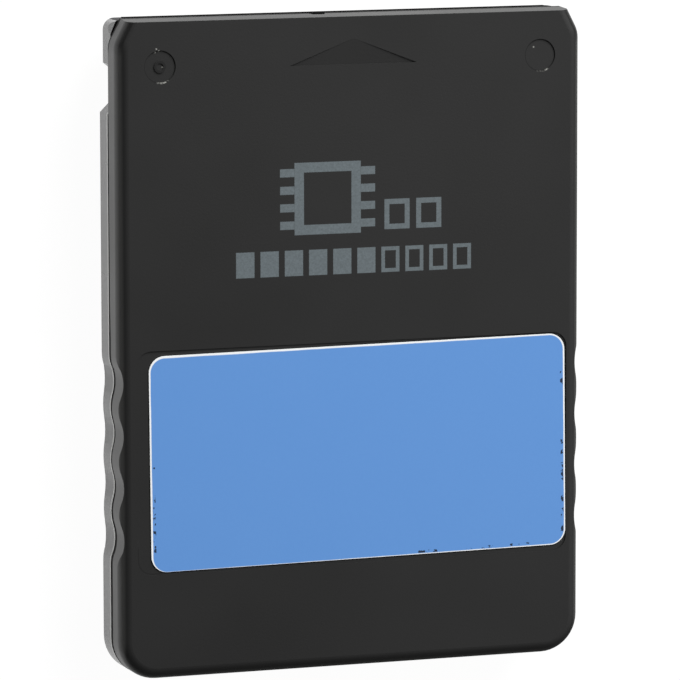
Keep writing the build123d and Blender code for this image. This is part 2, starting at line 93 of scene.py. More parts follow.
def finish_material(tree, shader, **results):
    """Links what the nodes work out to the shader's sockets, named with _ for a space."""
    for socket, node in results.items():
        result = next(output for output in node.outputs if output.enabled)
        tree.links.new(result, shader.inputs[socket.replace("_", " ")])


def dress(material, *names):
    """Puts a material on CAD nodes."""
    for name in names:
        for slot in nodes[name].material_slots:
            slot.material = material


def inside(tree, distance, edge=0.02):
    """1 where a distance is below zero, 0 where it is above, with a narrow soft edge."""
    return add(tree, "MapRange", {"Value": distance, "From Min": edge, "From Max": -edge})


def block_distance(tree, place, centre, size):
    """Distance in millimetres outside an upright block on the face, negative inside it."""
    offset = add(tree, "VectorMath", {0: place, 1: (centre[0], centre[1], 0)}, operation="SUBTRACT")
    folded = add(tree, "VectorMath", {0: offset}, operation="ABSOLUTE")
    past = add(tree, "VectorMath", {0: folded, 1: (size[0] / 2, size[1] / 2, 0)}, operation="SUBTRACT")
    axes = add(tree, "SeparateXYZ", {0: past})
    return add(tree, "Math", {0: axes.outputs["X"], 1: axes.outputs["Y"]}, operation="MAXIMUM")


def rounded_distance(tree, place, centre, turn, size, radius):
    """Distance in millimetres outside a block with rounded corners, negative inside it."""
    own = add(
        tree,
        "Mapping",
        {"Vector": place, "Location": (centre[0], centre[1], 0), "Rotation": (0, 0, turn)},
        vector_type="TEXTURE",
    )
    flat = add(tree, "VectorMath", {0: own, 1: (1, 1, 0)}, operation="MULTIPLY")
    folded = add(tree, "VectorMath", {0: flat}, operation="ABSOLUTE")
    straight = (size[0] / 2 - radius, size[1] / 2 - radius, 0)
    past = add(tree, "VectorMath", {0: folded, 1: straight}, operation="SUBTRACT")
    corner = add(tree, "VectorMath", {0: past, 1: (0, 0, 0)}, operation="MAXIMUM")
    reach = add(tree, "VectorMath", {0: corner}, operation="LENGTH")
    axes = add(tree, "SeparateXYZ", {0: past})
    deepest = add(tree, "Math", {0: axes.outputs["X"], 1: axes.outputs["Y"]}, operation="MAXIMUM")
    within = add(tree, "Math", {0: deepest, 1: 0.0}, operation="MINIMUM")
    rounded = add(tree, "Math", {0: reach, 1: within}, operation="ADD")
    return add(tree, "Math", {0: rounded, 1: radius}, operation="SUBTRACT")


def stroke(tree, distance, width):
    """1 on a line of a width just inside a shape's edge."""
    middle = add(tree, "Math", {0: distance, 1: width / 2}, operation="ADD")
    off_line = add(tree, "Math", {0: middle}, operation="ABSOLUTE")
    return inside(tree, add(tree, "Math", {0: off_line, 1: width / 2}, operation="SUBTRACT"))


def larger(tree, *masks):
    """The largest of several masks."""
    result = masks[0]
    for mask in masks[1:]:
        result = add(tree, "Math", {0: result, 1: mask}, operation="MAXIMUM")
    return result


def both(tree, *masks):
    """Several masks multiplied."""
    result = masks[0]
    for mask in masks[1:]:
        result = add(tree, "Math", {0: result, 1: mask}, operation="MULTIPLY")
    return result


# Printed marks on the face, in millimetres: a chip pictogram, two small squares and a row of memory cells
CHIP_CENTRE = (-2.25, 12.6)
CHIP_SIZE = (6.0, 6.2)
CHIP_STROKE = 0.85
PIN_LENGTH = 1.3
PIN_WIDTH = 0.7
PIN_PITCH = 1.5
SQUARE_PLACES = ((4.05, 11.0), (6.95, 11.0))
SQUARE_SIZE = (2.3, 2.6)
SQUARE_STROKE = 0.45
CELL_FIRST_X = -9.7
CELL_PITCH = 2.19
CELL_COUNT = 10
CELL_FILLED = 6
CELL_SIZE = (1.65, 2.2)
CELL_Y = 7.1
CELL_STROKE = 0.33


def face_print(tree, place):
    """Mask of the marks that are printed on the front face."""
    axes = add(tree, "SeparateXYZ", {0: place})
    x, y = axes.outputs["X"], axes.outputs["Y"]

    # Chip body and its two rows of pins
    body = stroke(tree, block_distance(tree, place, CHIP_CENTRE, CHIP_SIZE), CHIP_STROKE)
    along = add(tree, "Math", {0: y, 1: CHIP_CENTRE[1] + PIN_PITCH / 2}, operation="SUBTRACT")
    off_pin = add(tree, "Math", {0: along, 1: PIN_PITCH / 2}, operation="PINGPONG")
    pin = inside(tree, add(tree, "Math", {0: off_pin, 1: PIN_WIDTH / 2}, operation="SUBTRACT"))
    pin_span = (CHIP_SIZE[0] + 2 * PIN_LENGTH, 4 * PIN_PITCH)
    pin_field = inside(tree, block_distance(tree, place, CHIP_CENTRE, pin_span))
    body_field = inside(tree, block_distance(tree, place, CHIP_CENTRE, CHIP_SIZE))
    beside = add(tree, "Math", {0: pin_field, 1: body_field}, operation="SUBTRACT", use_clamp=True)
    pins = both(tree, pin, beside)

    # Two small squares
    squares = []
    for centre in SQUARE_PLACES:
        squares.append(stroke(tree, block_distance(tree, place, centre, SQUARE_SIZE), SQUARE_STROKE))

    # Row of memory cells, the first ones filled
    row_x = add(tree, "Math", {0: x, 1: CELL_FIRST_X}, operation="SUBTRACT")
    off_cell = add(tree, "Math", {0: row_x, 1: CELL_PITCH / 2}, operation="PINGPONG")
    cell_place = add(tree, "CombineXYZ", {"X": off_cell, "Y": y})
    cell = block_distance(tree, cell_place, (0, CELL_Y), CELL_SIZE)
    filled_end = CELL_FIRST_X + (CELL_FILLED - 0.5) * CELL_PITCH
    in_filled = add(tree, "Math", {0: x, 1: filled_end}, operation="LESS_THAN")
    row_middle = CELL_FIRST_X + (CELL_COUNT - 1) / 2 * CELL_PITCH
    row_size = (CELL_COUNT * CELL_PITCH, 2 * CELL_SIZE[1])
    row_field = inside(tree, block_distance(tree, place, (row_middle, CELL_Y), row_size))
    cells = larger(tree, stroke(tree, cell, CELL_STROKE), both(tree, inside(tree, cell), in_filled))
    return larger(tree, body, pins, *squares, both(tree, cells, row_field))


# Label in its recess, in millimetres
LABEL_CENTRE = (box_mm("front_label")[0] + box_mm("front_label")[1]) / 2
LABEL_TURN = math.radians(0.5)
LABEL_SIZE = (37.9, 18.6)
LABEL_RADIUS = 1.4
LABEL_SHADE_WIDTH = 0.12  # painted shade: a dark line round the label
BLUE_SHIFT = (0.01, -0.05)  # the blue is printed a little low, so the white edge is widest along the top
BLUE_TURN = math.radians(0.1)
BLUE_SIZE = (37.63, 18.4)
BLUE_RADIUS = 1.3
FLECK_INSET = 0.04  # the print is chipped in a band this far in from its edge
FLECK_BAND = 0.24
FLECK_FREE = 2.5  # none this near the top, nor half as near the bottom up to FLECK_RIGHT_X
FLECK_RIGHT_X = 6.0  # left of it the upper half has none either

# Recess that the label lies in, and its one corner where a line of painted shade shows, in millimetres
RECESS_CENTRE = (0.135, -9.525)
RECESS_SIZE = (39.17, 19.25)
RECESS_RADIUS = 1.3
RECESS_SHADE_LINE = 0.16
SHADED_CORNER = (-18.45, -18.1)
SHADED_CORNER_SIZE = (2.8, 3.4)

# Round marks that the mould's ejector pins and its gate left, in millimetres
MARK_PLACES = ((-17.2, 24.27), (17.2, 24.27))
MARK_RADIUS = 1.375
MARK_SHADE = (0.05, 0.12)  # how far the line of painted shade reaches past a mark's edge, and its width
MARK_RIM = (0.08, 0.11)  # the same of the rim that carries the painted glints
GATE_RADIUS = 0.415  # middle of the ring of painted shade round the gate
GATE_WIDTH = 0.22
GLINT_OFFSET = (0.25, -1.4)  # middle of the painted glint along each mark's lower edge, from the mark's centre
GLINT_REACH = 0.5
# Bright specks at the marks; the one just right of the gate is a painted glint
SPECK_PLACES = ((-16.97, 24.24), (-17.52, 25.78), (-17.3, 25.62), (-17.62, 25.5), (16.62, 24.97))
SPECK_RADIUS = 0.06


def mark_shade_and_glints(tree, place):
    """Masks of the painted shade in the round marks' edges and round the gate, and of the painted glints and
    bright specks at them.
    """
    flat = add(tree, "VectorMath", {0: place, 1: (1, 1, 0)}, operation="MULTIPLY")
    bright_spots = add(tree, "TexNoise", {"Vector": place, "Scale": 1 / 0.35, "Detail": 2.0})
    brightened = add(tree, "MapRange", {"Value": bright_spots, "From Min": 0.4, "From Max": 0.58})

    def within(x, y, reach):
        """Distance past a circle on the face."""
        distance = add(tree, "VectorMath", {0: flat, 1: (x, y, 0)}, operation="DISTANCE")
        return add(tree, "Math", {0: distance, 1: reach}, operation="SUBTRACT")

    painted_shade = []
    bright = []
    for x, y in MARK_PLACES:
        painted_shade.append(stroke(tree, within(x, y, MARK_RADIUS + MARK_SHADE[0]), MARK_SHADE[1]))
        rim = stroke(tree, within(x, y, MARK_RADIUS + MARK_RIM[0]), MARK_RIM[1])
        glint_patch = inside(tree, within(x + GLINT_OFFSET[0], y + GLINT_OFFSET[1], GLINT_REACH), 0.1)
        bright.append(both(tree, rim, glint_patch, brightened))
    gate_x, gate_y = MARK_PLACES[0]
    painted_shade.append(stroke(tree, within(gate_x, gate_y, GATE_RADIUS + GATE_WIDTH / 2), GATE_WIDTH))
    for x, y in SPECK_PLACES:
        bright.append(inside(tree, within(x, y, SPECK_RADIUS), 0.04))
    return larger(tree, *painted_shade), larger(tree, *bright)


# How high the painted shade in the seam between the shells reaches, by the place along the card, in
# millimetres
SEAM_SHADE = (
    (-28.2, 0.25), (-21.5, 0.34), (-15.0, 0.34), (-11.5, 0.1), (-8.0, 0.04), (-4.5, 0.2), (-0.6, 0.28),
    (1.0, 0.28), (4.0, 0.1), (12.5, 0.07), (19.4, 0.07), (20.2, 0.0), (24.8, 0.0), (25.8, 0.2), (28.2, 0.45),
)
SEAM_SHADE_MOST = 0.5


def seam_shade(tree, axes):
    """Mask of the painted shade that lines the seam, on the front shell's lower edge."""
    share = add(
        tree, "MapRange", {"Value": axes.outputs["Y"], "From Min": -END_Y, "From Max": END_Y}
    )
    reach = add(tree, "ValToRGB", {"Fac": share})
    stops = reach.color_ramp.elements
    while len(stops) < len(SEAM_SHADE):
        stops.new(0.5)
    for stop, (y, height) in zip(stops, SEAM_SHADE):
        stop.position = (y + END_Y) / (2 * END_Y)
        stop.color = [height / SEAM_SHADE_MOST] * 3 + [1.0]
    top = add(tree, "Math", {0: reach, 1: SEAM_SHADE_MOST, 2: SEAM_HIGH_Z}, operation="MULTIPLY_ADD")
    return inside(tree, add(tree, "Math", {0: axes.outputs["Z"], 1: top}, operation="SUBTRACT"), 0.03)


SHEEN_SIDE = (20.45, 20.65)  # the front shell's sides carry a painted sheen from here out, in millimetres
SHEEN_END = (3.0, 2.0)  # and up to here from the connector end
DUST_SPACING = 8.0
DUST_RADIUS = (0.03, 0.07)  # a speck's core and its soft edge
FACE_SKIN = 0.05  # the print lies on the face itself, within this depth
FACE_RELIEF = 0.13  # the face's marks, arrow and label recess are all shallower, in millimetres
FACE_DULLER = 0.12  # how much rougher the face is than its edges
SHADE_LINE_ROUGHNESS = 0.9

# ABS, injection moulded in a finely spark-eroded mould: a black that stays soft, with broad dull highlights
ABS_CONSTANTS = {"IOR": 1.54, "Metallic": 0.0}


def moulded_abs(name, roughness, grain_strength):
    """Moulded ABS: its tone from a fine grain and faint flow clouds, its gloss and its bump. The grain is
    drawn twice as coarse as a real 0.1 mm mould grain, so that it shows."""
    material, tree, shader, place = new_material(name, ABS_CONSTANTS)
    grain = add(tree, "TexNoise", {"Vector": place, "Scale": 1 / 0.2, "Detail": 3.0, "Roughness": 0.6})
    clouds = add(tree, "TexNoise", {"Vector": place, "Scale": 1 / 14.0, "Detail": 2.0, "Roughness": 0.5})
    cloudy = add(tree, "Math", {0: clouds, 1: 0.75, 2: 0.125}, operation="MULTIPLY_ADD")
    tone = add(tree, "Math", {0: grain, 1: 0.25, 2: cloudy}, operation="MULTIPLY_ADD")
    gloss = add(
        tree,
        "MapRange",
        {
            "Value": clouds,
            "From Min": 0.3,
            "From Max": 0.7,
            "To Min": roughness - 0.03,
            "To Max": roughness + 0.03,
        },
    )
    bump = add(tree, "Bump", {"Height": grain, "Strength": grain_strength, "Distance": 0.02 * MM})
    return material, tree, shader, place, tone, gloss, bump


def front_shell_abs():
    """Front shell: black ABS, painted greyer on its long sides as a painted sheen, with the printed marks in
    a thin grey ink, painted shade in its seam, round the label, in one corner of its recess and in the round
    marks, painted glints at the marks, and a few specks of dust."""
    material, tree, shader, place, tone, gloss, bump = moulded_abs("moulded_abs_front", 0.42, 0.25)
    axes = add(tree, "SeparateXYZ", {0: place})
    on_face = add(tree, "Math", {0: axes.outputs["Z"], 1: FACE_Z - FACE_SKIN}, operation="GREATER_THAN")
    on_front = add(tree, "Math", {0: axes.outputs["Z"], 1: FACE_Z - FACE_RELIEF}, operation="GREATER_THAN")
    plastic = add(
        tree, "Mix", {"Factor": tone, "A": linear("#0B0B0A"), "B": linear("#101010")}, data_type="RGBA"
    )

    # Painted sheen: the long sides painted greyer, to stand for the light they catch
    side = add(tree, "Math", {0: axes.outputs["X"]}, operation="ABSOLUTE")
    by_side = add(tree, "MapRange", {"Value": side, "From Min": SHEEN_SIDE[0], "From Max": SHEEN_SIDE[1]})
    end_from, end_to = (END_Y - reach for reach in SHEEN_END)
    by_end = add(tree, "MapRange", {"Value": axes.outputs["Y"], "From Min": end_to, "From Max": end_from})
    side_sheen = add(
        tree,
        "Mix",
        {"Factor": both(tree, by_side, by_end), "A": plastic, "B": linear("#3B3B3A")},
        data_type="RGBA",
    )

    # Grey ink, a little grainy
    ink_grain = add(tree, "TexNoise", {"Vector": place, "Scale": 1 / 0.16, "Detail": 2.0})
    ink = add(
        tree, "Mix", {"Factor": ink_grain, "A": linear("#4C5457"), "B": linear("#6B757A")}, data_type="RGBA"
    )
    marks = both(tree, face_print(tree, place), on_face)
    marked = add(tree, "Mix", {"Factor": marks, "A": side_sheen, "B": ink}, data_type="RGBA")

    # Dust specks, on about half of the cells
    flat = add(tree, "VectorMath", {0: place, 1: (1, 1, 0)}, operation="MULTIPLY")
    specks = add(tree, "TexVoronoi", {"Vector": flat, "Scale": 1 / DUST_SPACING})
    core, rim = (radius / DUST_SPACING for radius in DUST_RADIUS)
    near = add(tree, "MapRange", {"Value": specks, "From Min": rim, "From Max": core})
    chosen = add(tree, "Math", {0: specks.outputs["Color"], 1: 0.5}, operation="GREATER_THAN")
    dusty = add(
        tree,
        "Mix",
        {"Factor": both(tree, near, chosen, on_face), "A": marked, "B": linear("#8C8C87")},
        data_type="RGBA",
    )

    # Painted shade in the seam, in the round marks, round the label and in one corner of its recess
    mark_shade, mark_bright = mark_shade_and_glints(tree, place)
    label_edge = rounded_distance(tree, place, LABEL_CENTRE, LABEL_TURN, LABEL_SIZE, LABEL_RADIUS)
    label_shade = inside(tree, add(tree, "Math", {0: label_edge, 1: LABEL_SHADE_WIDTH}, operation="SUBTRACT"), 0.04)
    recess_edge = rounded_distance(tree, place, RECESS_CENTRE, 0.0, RECESS_SIZE, RECESS_RADIUS)
    shaded_corner = inside(tree, block_distance(tree, place, SHADED_CORNER, SHADED_CORNER_SIZE), 0.5)
    recess_shade = both(tree, stroke(tree, recess_edge, RECESS_SHADE_LINE), shaded_corner)
    face_shade = both(tree, larger(tree, label_shade, recess_shade, mark_shade), on_front)
    painted_shade = larger(tree, seam_shade(tree, axes), face_shade)
    shaded = add(tree, "Mix", {"Factor": painted_shade, "A": dusty, "B": linear("#050505")}, data_type="RGBA")
    # Painted glints and bright specks at the round marks
    bright_spots = both(tree, mark_bright, on_front)
    brightened = add(tree, "Mix", {"Factor": bright_spots, "A": shaded, "B": linear("#969691")}, data_type="RGBA")

    # The face is duller than its edges, which hands have polished
    face_gloss = add(tree, "Math", {0: on_front, 1: FACE_DULLER, 2: gloss}, operation="MULTIPLY_ADD")
    dulled = add(tree, "Mix", {"Factor": painted_shade, "A": face_gloss, "B": SHADE_LINE_ROUGHNESS}, data_type="FLOAT")
    finish_material(tree, shader, Base_Color=brightened, Roughness=dulled, Normal=bump)
    return material


FLANGE_SHEEN = (-0.95, -0.6)  # the flange carries a painted sheen from here to its edge, in millimetres from the outline
HIGHLIGHT_EDGE = (0.32, 0.2)  # its upper edge carries a painted highlight, from here below the seam
LOBE_LENGTH = 4.2  # the lobes at the connector end get no painted highlight
END_FACE = 0.2  # depth of the connector end's own face, which is left dull
END_ROUGHNESS = 0.9
# The shelf in the seam, painted near black as painted shade
SEAM_SHELF = 0.02


def rear_shell_abs():
    """Rear shell: the same ABS, smoother, painted lighter than the front shell as painted light, with its
    grip flange painted paler as a painted sheen, a painted highlight along the flange's edge, and painted
    shade on the shelf in the seam."""
    material, tree, shader, place, tone, gloss, bump = moulded_abs("moulded_abs_rear", 0.27, 0.2)
    axes = add(tree, "SeparateXYZ", {0: place})
    z = axes.outputs["Z"]
    # The same black ABS as the front shell, painted lighter: painted light
    plastic = add(
        tree, "Mix", {"Factor": tone, "A": linear("#28282A"), "B": linear("#323234")}, data_type="RGBA"
    )
    # Painted sheen: the grip flange painted paler
    from_edge = rounded_distance(tree, place, (0, 0), 0.0, CASE_SIZE, CASE_RADIUS)
    outer = add(
        tree, "MapRange", {"Value": from_edge, "From Min": FLANGE_SHEEN[0], "From Max": FLANGE_SHEEN[1]}
    )
    above_step = add(
        tree, "MapRange", {"Value": z, "From Min": FLANGE_LOW_Z, "From Max": FLANGE_LOW_Z + 0.1}
    )
    off_end = add(tree, "Math", {0: axes.outputs["Y"], 1: END_Y - END_FACE}, operation="LESS_THAN")
    off_lobes = add(tree, "Math", {0: axes.outputs["Y"], 1: END_Y - LOBE_LENGTH}, operation="LESS_THAN")
    flange = both(tree, outer, above_step, off_end)
    sheen_tone = add(
        tree, "Mix", {"Factor": tone, "A": linear("#727273"), "B": linear("#808081")}, data_type="RGBA"
    )
    side_sheen = add(tree, "Mix", {"Factor": flange, "A": plastic, "B": sheen_tone}, data_type="RGBA")
    # Painted highlight: the flange's upper edge painted near white
    highlight_from, highlight_to = (SEAM_LOW_Z - depth for depth in HIGHLIGHT_EDGE)
    top = add(tree, "MapRange", {"Value": z, "From Min": highlight_from, "From Max": highlight_to})
    wear_and_highlight = add(
        tree,
        "Mix",
        {"Factor": both(tree, top, flange, off_lobes), "A": side_sheen, "B": linear("#D6D6D4")},
        data_type="RGBA",
    )
    # Painted shade: the shelf in the seam painted near black
    in_seam = add(tree, "Math", {0: z, 1: SEAM_LOW_Z - SEAM_SHELF}, operation="GREATER_THAN")
    shaded = add(tree, "Mix", {"Factor": in_seam, "A": wear_and_highlight, "B": linear("#050505")}, data_type="RGBA")
    dulled = add(tree, "Mix", {"Factor": off_end, "A": END_ROUGHNESS, "B": gloss}, data_type="FLOAT")
    finish_material(tree, shader, Base_Color=shaded, Roughness=dulled, Normal=bump)
    return material


def label_film():
    """Printed vinyl film: an even blue under a soft gloss, with the white film showing as a narrow edge and
    the print chipped in places just inside it."""
    material, tree, shader, place = new_material("printed_vinyl_film", {"IOR": 1.46, "Metallic": 0.0})
    centre = (LABEL_CENTRE.x + BLUE_SHIFT[0], LABEL_CENTRE.y + BLUE_SHIFT[1])
    distance = rounded_distance(tree, place, centre, LABEL_TURN + BLUE_TURN, BLUE_SIZE, BLUE_RADIUS)

    # The cut is a little uneven, so the white edge is not quite the same all round
    waver = add(tree, "TexNoise", {"Vector": place, "Scale": 1 / 3.0, "Detail": 3.0})
    border = add(tree, "Math", {0: waver, 1: 0.08, 2: -0.04}, operation="MULTIPLY_ADD")
    from_border = add(tree, "Math", {0: distance, 1: border}, operation="ADD")
    printed = inside(tree, from_border, 0.03)
    tint = add(tree, "TexNoise", {"Vector": place, "Scale": 1 / 0.25, "Detail": 2.0})
    blue = add(
        tree, "Mix", {"Factor": tint, "A": linear("#5C90D2"), "B": linear("#5F93D4")}, data_type="RGBA"
    )

    # Dark flecks where the print is chipped, in groups along the edge
    groups = add(tree, "TexNoise", {"Vector": place, "Scale": 1 / 2.2, "Detail": 1.0})
    in_group = add(tree, "Math", {0: groups, 1: 0.5}, operation="GREATER_THAN")
    crumbs = add(tree, "TexNoise", {"Vector": place, "Scale": 1 / 0.4, "Detail": 2.0})
    crumb = add(tree, "MapRange", {"Value": crumbs, "From Min": 0.54, "From Max": 0.58})
    from_edge = add(tree, "Math", {0: from_border, 1: FLECK_INSET}, operation="ADD")
    edge_band = stroke(tree, from_edge, FLECK_BAND)
    axes = add(tree, "SeparateXYZ", {0: place})
    top_y = LABEL_CENTRE.y + LABEL_SIZE[1] / 2 - FLECK_FREE
    below_top = add(tree, "Math", {0: axes.outputs["Y"], 1: top_y}, operation="LESS_THAN")
    bottom_y = LABEL_CENTRE.y - LABEL_SIZE[1] / 2 + FLECK_FREE / 2
    above_bottom = add(tree, "Math", {0: axes.outputs["Y"], 1: bottom_y}, operation="GREATER_THAN")
    below_middle = add(tree, "Math", {0: axes.outputs["Y"], 1: LABEL_CENTRE.y}, operation="LESS_THAN")
    at_left = both(tree, above_bottom, below_middle)
    to_right = add(tree, "Math", {0: axes.outputs["X"], 1: FLECK_RIGHT_X}, operation="GREATER_THAN")
    flecks = both(tree, edge_band, in_group, crumb, below_top, larger(tree, at_left, to_right))
    flecked = add(tree, "Mix", {"Factor": flecks, "A": blue, "B": linear("#14263F")}, data_type="RGBA")
    film = add(
        tree, "Mix", {"Factor": printed, "A": linear("#F2F4F5"), "B": flecked}, data_type="RGBA"
    )
    gloss = add(
        tree, "MapRange", {"Value": waver, "From Min": 0.3, "From Max": 0.7, "To Min": 0.5, "To Max": 0.54}
    )
    bump = add(tree, "Bump", {"Height": tint, "Strength": 0.08, "Distance": 0.01 * MM})
    finish_material(tree, shader, Base_Color=film, Roughness=gloss, Normal=bump)
    return material


def carrier_pbt():
    """Glass-filled PBT, moulded: a dead dull black, with the short fibres just showing as pale flecks."""
    material, tree, shader, place = new_material(
        "glass_filled_pbt", {"IOR": 1.5, "Metallic": 0.0, "Specular IOR Level": 0.0}
    )
    fibres = add(tree, "TexNoise", {"Vector": place, "Scale": 1 / 0.25, "Detail": 3.0, "Roughness": 0.7})
    tone = add(
        tree, "Mix", {"Factor": fibres, "A": linear("#0B0B0B"), "B": linear("#1C1C1C")}, data_type="RGBA"
    )
    dull = add(
        tree, "MapRange", {"Value": fibres, "From Min": 0.3, "From Max": 0.7, "To Min": 0.6, "To Max": 0.75}
    )
    bump = add(tree, "Bump", {"Height": fibres, "Strength": 0.3, "Distance": 0.02 * MM})
    finish_material(tree, shader, Base_Color=tone, Roughness=dull, Normal=bump)
    return material


# Where the slot's springs wipe the contact strips, in millimetres from the strips' front
WIPE_FROM, WIPE_TO = 2.0, 4.2


def contact_gold():
    """Thin gold plate on rolled bronze strip: a warm bright metal with fine rolling lines along the strip,
    and a duller track where the slot's springs wipe it. The rolling lines are drawn coarser than real, at
    0.06 mm."""
    material, tree, shader, place = new_material("gold_plated_bronze", {"Metallic": 1.0})
    drawn = add(tree, "VectorMath", {0: place, 1: (1 / 0.06, 1 / 4.0, 1 / 0.06)}, operation="MULTIPLY")
    lines = add(tree, "TexNoise", {"Vector": drawn, "Scale": 1.0, "Detail": 3.0})
    stain = add(tree, "TexNoise", {"Vector": place, "Scale": 1 / 1.5, "Detail": 3.0})
    gold = add(
        tree, "Mix", {"Factor": stain, "A": linear("#C79A45"), "B": linear("#E8C272")}, data_type="RGBA"
    )
    axes = add(tree, "SeparateXYZ", {0: place})
    front_y = box_mm("contact_1")[1].y
    wipe_centre = (0, front_y - (WIPE_FROM + WIPE_TO) / 2)
    track = block_distance(tree, place, wipe_centre, (CASE_SIZE[0], WIPE_TO - WIPE_FROM))
    lower_z = box_mm("contact_1")[0].z + 0.02
    below = add(tree, "Math", {0: axes.outputs["Z"], 1: lower_z}, operation="LESS_THAN")
    wiped = both(tree, inside(tree, track, 0.3), below)
    wear_and_highlight = add(tree, "Mix", {"Factor": wiped, "A": gold, "B": linear("#B08A4C")}, data_type="RGBA")
    polish = add(
        tree, "MapRange", {"Value": lines, "From Min": 0.3, "From Max": 0.7, "To Min": 0.22, "To Max": 0.36}
    )
    dulled = add(tree, "Math", {0: wiped, 1: 0.12, 2: polish}, operation="MULTIPLY_ADD")
    bump = add(tree, "Bump", {"Height": lines, "Strength": 0.2, "Distance": 0.005 * MM})
    finish_material(tree, shader, Base_Color=wear_and_highlight, Roughness=dulled, Normal=bump)
    return material


TRACK_PITCH = 1.0
TRACK_WIDTH = 0.3


def board_fr4():
    """FR4 laminate under green solder resist: a glossy deep green, paler over the copper tracks, and tan
    glass cloth where the board is cut."""
    material, tree, shader, place = new_material("fr4_green_resist", {"IOR": 1.55, "Metallic": 0.0})
    axes = add(tree, "SeparateXYZ", {0: place})
    patches = add(tree, "TexVoronoi", {"Vector": place, "Scale": 1 / 7.0}, distance="CHEBYCHEV")
    picks = add(tree, "SeparateColor", {"Color": patches.outputs["Color"]})
    lines = []
    for axis in ("X", "Y"):
        off_track = add(tree, "Math", {0: axes.outputs[axis], 1: TRACK_PITCH / 2}, operation="PINGPONG")
        past_track = add(tree, "Math", {0: off_track, 1: TRACK_WIDTH / 2}, operation="SUBTRACT")
        lines.append(inside(tree, past_track))
    along_y = add(tree, "Math", {0: picks.outputs[0], 1: 0.4}, operation="GREATER_THAN")
    laid = add(tree, "Mix", {"Factor": along_y, "A": lines[1], "B": lines[0]}, data_type="FLOAT")
    used = add(tree, "Math", {0: picks.outputs[1], 1: 0.25}, operation="GREATER_THAN")
    tracks = both(tree, laid, used)
    resist = add(
        tree, "Mix", {"Factor": tracks, "A": linear("#124A2B"), "B": linear("#1F6B3C")}, data_type="RGBA"
    )
    weave = add(tree, "TexNoise", {"Vector": place, "Scale": 1 / 0.4, "Detail": 2.0})
    laminate = add(
        tree, "Mix", {"Factor": weave, "A": linear("#8F8357"), "B": linear("#B3A678")}, data_type="RGBA"
    )
    coordinates = add(tree, "TexCoord")
    facing = add(tree, "SeparateXYZ", {0: coordinates.outputs["Normal"]})
    upright = add(tree, "Math", {0: facing.outputs["Z"]}, operation="ABSOLUTE")
    cut = add(tree, "Math", {0: upright, 1: 0.5}, operation="LESS_THAN")
    board = add(tree, "Mix", {"Factor": cut, "A": resist, "B": laminate}, data_type="RGBA")
    gloss = add(
        tree, "MapRange", {"Value": weave, "From Min": 0.3, "From Max": 0.7, "To Min": 0.25, "To Max": 0.4}
    )
    bump = add(tree, "Bump", {"Height": tracks, "Strength": 0.5, "Distance": 0.03 * MM})
    finish_material(tree, shader, Base_Color=board, Roughness=gloss, Normal=bump)
    return material


FIRST_LEAD_DOT = 0.4
FIRST_LEAD_INSET = 1.2


def chip_epoxy():
    """Filled epoxy, transfer moulded: a matt grey-black with a sandy grain, and a pale dot by the first
    lead."""
    material, tree, shader, place = new_material("epoxy_moulding", {"IOR": 1.55, "Metallic": 0.0})
    sand = add(tree, "TexNoise", {"Vector": place, "Scale": 1 / 0.15, "Detail": 3.0, "Roughness": 0.7})
    epoxy = add(
        tree, "Mix", {"Factor": sand, "A": linear("#161719"), "B": linear("#2A2B2E")}, data_type="RGBA"
    )
    dots = []
    for chip in ("flash_chip", "controller_chip"):
        low, high = box_mm(chip)
        dot = (low.x + FIRST_LEAD_INSET, low.y + FIRST_LEAD_INSET, high.z)
        from_dot = add(tree, "VectorMath", {0: place, 1: dot}, operation="DISTANCE")
        dots.append(inside(tree, add(tree, "Math", {0: from_dot, 1: FIRST_LEAD_DOT}, operation="SUBTRACT")))
    marked = add(
        tree, "Mix", {"Factor": larger(tree, *dots), "A": epoxy, "B": linear("#9A9A95")}, data_type="RGBA"
    )
    matt = add(
        tree, "MapRange", {"Value": sand, "From Min": 0.3, "From Max": 0.7, "To Min": 0.55, "To Max": 0.75}
    )
    bump = add(tree, "Bump", {"Height": sand, "Strength": 0.4, "Distance": 0.02 * MM})
    finish_material(tree, shader, Base_Color=marked, Roughness=matt, Normal=bump)
    return material


def lead_tin():
    """Matt tin plate on copper alloy leads: a soft silver grey with a fine crystal mottle."""
    material, tree, shader, place = new_material("matt_tin_plate", {"Metallic": 1.0})
    mottle = add(tree, "TexNoise", {"Vector": place, "Scale": 1 / 0.12, "Detail": 2.0})
    tin = add(
        tree, "Mix", {"Factor": mottle, "A": linear("#A9A9A4"), "B": linear("#CFCFCA")}, data_type="RGBA"
    )
    satin = add(
        tree, "MapRange", {"Value": mottle, "From Min": 0.3, "From Max": 0.7, "To Min": 0.32, "To Max": 0.5}
    )
    bump = add(tree, "Bump", {"Height": mottle, "Strength": 0.2, "Distance": 0.01 * MM})
    finish_material(tree, shader, Base_Color=tin, Roughness=satin, Normal=bump)
    return material


CRYSTAL_BASE_HEIGHT = 0.5


